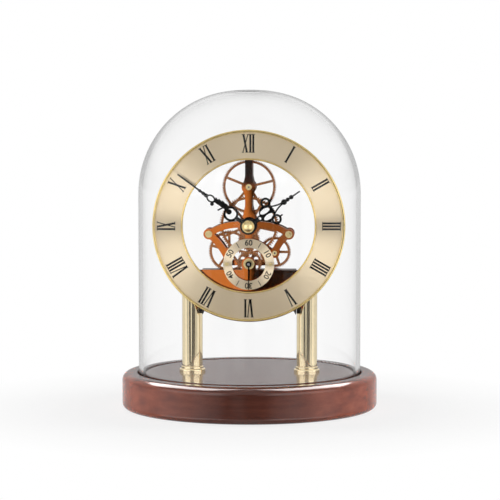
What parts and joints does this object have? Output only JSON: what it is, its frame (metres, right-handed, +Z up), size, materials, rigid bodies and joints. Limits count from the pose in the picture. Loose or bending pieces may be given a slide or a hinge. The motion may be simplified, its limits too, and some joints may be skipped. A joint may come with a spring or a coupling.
{
  "type": "skeleton table clock under a glass dome",
  "caption": "Skeleton quartz table clock: open chapter ring, copper bridge and visible gear train on brass columns, with a lift-off glass dome on a round wooden base.",
  "frame": {"origin": "on the table, under the middle of the round base", "axes": "+Z up, -Y towards the front, where the dial faces, +X to the right as seen from the front"},
  "size_m": [0.154, 0.154, 0.1923],
  "materials": {
    "lacquered_wood": "gloss lacquer",
    "black_felt": "felt",
    "clear_glass": "clear",
    "pale_gold": "polished",
    "polished_brass": "polished",
    "champagne": "circular brushed",
    "copper_plate": "mirror polished",
    "bronze": "satin",
    "black_enamel": "satin",
    "steel": "turned",
    "dark_plastic": "fine grain",
    "cell_jacket": "gloss",
    "contact_plate": "bright",
    "green_board": "solder mask",
    "chip_black": "matte",
    "crystal_can": "bright",
    "soft_iron": "annealed",
    "white_nylon": "moulded",
    "enamelled_wire": "wound wire",
    "magnet": "sintered"
  },
  "bodies": {
    "clock": {"wood_base": "lacquered_wood", "felt_pad": "black_felt", "left_column": "pale_gold", "right_column": "pale_gold", "left_column_foot": "pale_gold", "right_column_foot": "pale_gold", "tie_rods": "steel", "tie_rod_fasteners": "steel", "movement_case": "dark_plastic", "front_cover": "copper_plate", "cover_screws": "steel", "battery": "cell_jacket", "positive_contact": "contact_plate", "negative_contact": "contact_plate", "circuit_board": "green_board", "driver_chip": "chip_black", "quartz_crystal": "crystal_can", "motor_stator": "soft_iron", "coil_core": "soft_iron", "coil_bobbin": "white_nylon", "motor_coil": "enamelled_wire", "front_bridge": "copper_plate", "rear_plate": "copper_plate", "pillars": "copper_plate", "frame_screws": "polished_brass", "pivot_bushes": "polished_brass", "centre_bush": "polished_brass", "seconds_bush": "polished_brass", "seconds_dial": "champagne", "dial_rivets": "polished_brass", "chapter_ring": "champagne", "outer_bezel": "polished_brass", "inner_rim": "polished_brass", "ring_studs": "steel", "ring_nuts": "steel", "reverser_stud": "steel"},
    "dome": {"glass_dome": "clear_glass"},
    "battery_door": {"battery_door": "dark_plastic"},
    "seconds": {"seconds_arbor": "steel", "seconds_wheel": "bronze", "seconds_hand": "black_enamel"},
    "third": {"third_arbor": "steel", "third_wheel": "bronze"},
    "centre": {"centre_wheel": "bronze", "centre_pinion": "bronze"},
    "top": {"top_arbor": "steel", "top_wheel": "bronze"},
    "idler": {"idler_arbor": "steel", "idler_wheel": "bronze"},
    "drive": {"drive_wheel": "bronze"},
    "rotor": {"rotor_magnet": "magnet", "rotor_pinion": "steel"},
    "minute": {"minute_arbor": "steel", "clutch_spring": "steel", "minute_hand": "black_enamel", "cap_nut": "polished_brass", "setting_knob": "dark_plastic"},
    "hour": {"hour_wheel": "bronze", "hour_hand": "black_enamel"},
    "reverser": {"reverser": "bronze"}
  },
  "joints": [
    {"name": "dome_lift", "type": "slide", "parent": "clock", "child": "dome", "axis": [0, 0, 1], "range_m": [0, 0.2]},
    {"name": "battery_door_slide", "type": "slide", "parent": "clock", "child": "battery_door", "axis": [1, 0, 0], "range_m": [0, 0.03]},
    {"name": "seconds_turn", "type": "hinge", "parent": "clock", "child": "seconds", "pos_m": [0, 0, 0.088], "axis": [0, 1, 0], "continuous": true},
    {"name": "third_turn", "type": "hinge", "parent": "clock", "child": "third", "pos_m": [-0.012, 0, 0.09525], "axis": [0, 1, 0], "continuous": true},
    {"name": "centre_turn", "type": "hinge", "parent": "clock", "child": "centre", "pos_m": [0, 0, 0.111], "axis": [0, 1, 0], "continuous": true},
    {"name": "top_turn", "type": "hinge", "parent": "clock", "child": "top", "pos_m": [0, 0, 0.13418], "axis": [0, 1, 0], "continuous": true},
    {"name": "idler_turn", "type": "hinge", "parent": "clock", "child": "idler", "pos_m": [0.01551, 0, 0.09465], "axis": [0, 1, 0], "continuous": true},
    {"name": "drive_turn", "type": "hinge", "parent": "clock", "child": "drive", "pos_m": [0.01551, 0, 0.08059], "axis": [0, 1, 0], "continuous": true},
    {"name": "rotor_turn", "type": "hinge", "parent": "clock", "child": "rotor", "pos_m": [0.01131, 0, 0.07639], "axis": [0, 1, 0], "continuous": true},
    {"name": "minute_turn", "type": "hinge", "parent": "clock", "child": "minute", "pos_m": [0, 0, 0.111], "axis": [0, 1, 0], "continuous": true},
    {"name": "hour_turn", "type": "hinge", "parent": "clock", "child": "hour", "pos_m": [0, 0, 0.111], "axis": [0, 1, 0], "continuous": true},
    {"name": "reverser_turn", "type": "hinge", "parent": "clock", "child": "reverser", "pos_m": [0, 0, 0.10236], "axis": [0, 1, 0], "continuous": true}
  ],
  "couplings": [
    {"joint": "third_turn", "follows": "seconds_turn", "ratio": -0.13333},
    {"joint": "centre_turn", "follows": "seconds_turn", "ratio": 0.016667},
    {"joint": "top_turn", "follows": "seconds_turn", "ratio": -0.0073333},
    {"joint": "idler_turn", "follows": "seconds_turn", "ratio": -0.8},
    {"joint": "drive_turn", "follows": "seconds_turn", "ratio": 1.6},
    {"joint": "rotor_turn", "follows": "seconds_turn", "ratio": -6},
    {"joint": "hour_turn", "follows": "minute_turn", "ratio": 0.083333},
    {"joint": "reverser_turn", "follows": "minute_turn", "ratio": -0.33333}
  ]
}
